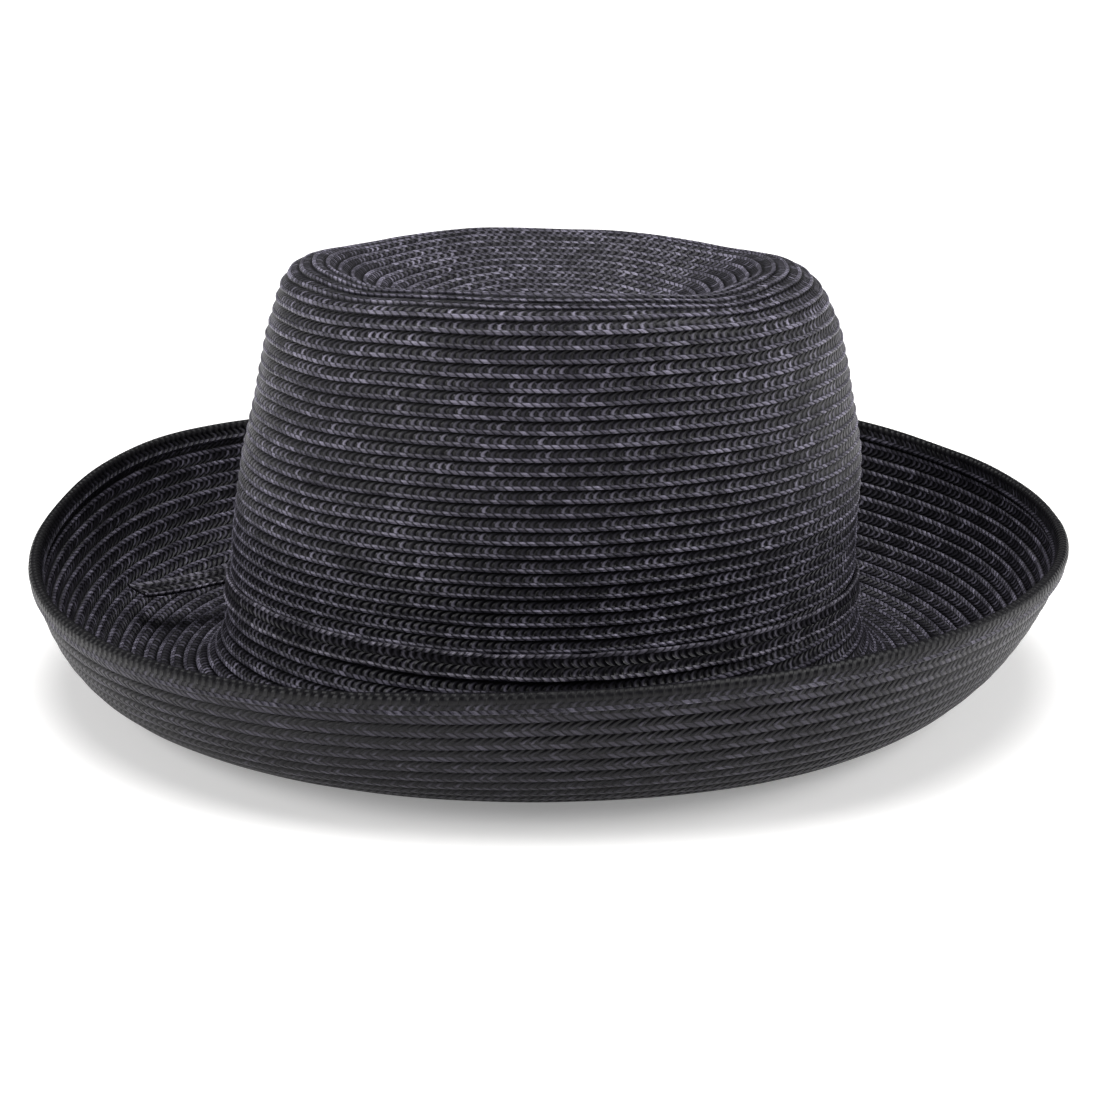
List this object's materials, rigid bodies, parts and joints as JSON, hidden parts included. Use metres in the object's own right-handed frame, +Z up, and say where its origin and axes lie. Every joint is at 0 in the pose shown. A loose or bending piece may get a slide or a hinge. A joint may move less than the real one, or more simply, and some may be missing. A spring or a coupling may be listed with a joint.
{
  "type": "kettle brim hat",
  "caption": "Straw hat sewn from spiral braid, with a telescope crown, a rolled-up kettle brim and a braid band with a free tail.",
  "frame": {"origin": "middle of the brim's plan, on the surface that the hat rests on", "axes": "+Z up, the front of the hat taken towards -X and its back towards +X, +Y towards the side where the band's tail lies"},
  "size_m": [0.3236, 0.2966, 0.1303],
  "materials": {
    "crown_straw": "black paper-straw braid, sewn in a spiral, low sheen",
    "brim_straw": "black paper-straw braid, sewn in a spiral, low sheen",
    "edge_straw": "black paper-straw braid, folded over the rim, low sheen",
    "band_straw": "one strip of black paper-straw braid, low sheen"
  },
  "bodies": {
    "root": {"crown": "crown_straw", "brim": "brim_straw", "edge_braid": "edge_straw", "band": "band_straw"}
  },
  "joints": []
}
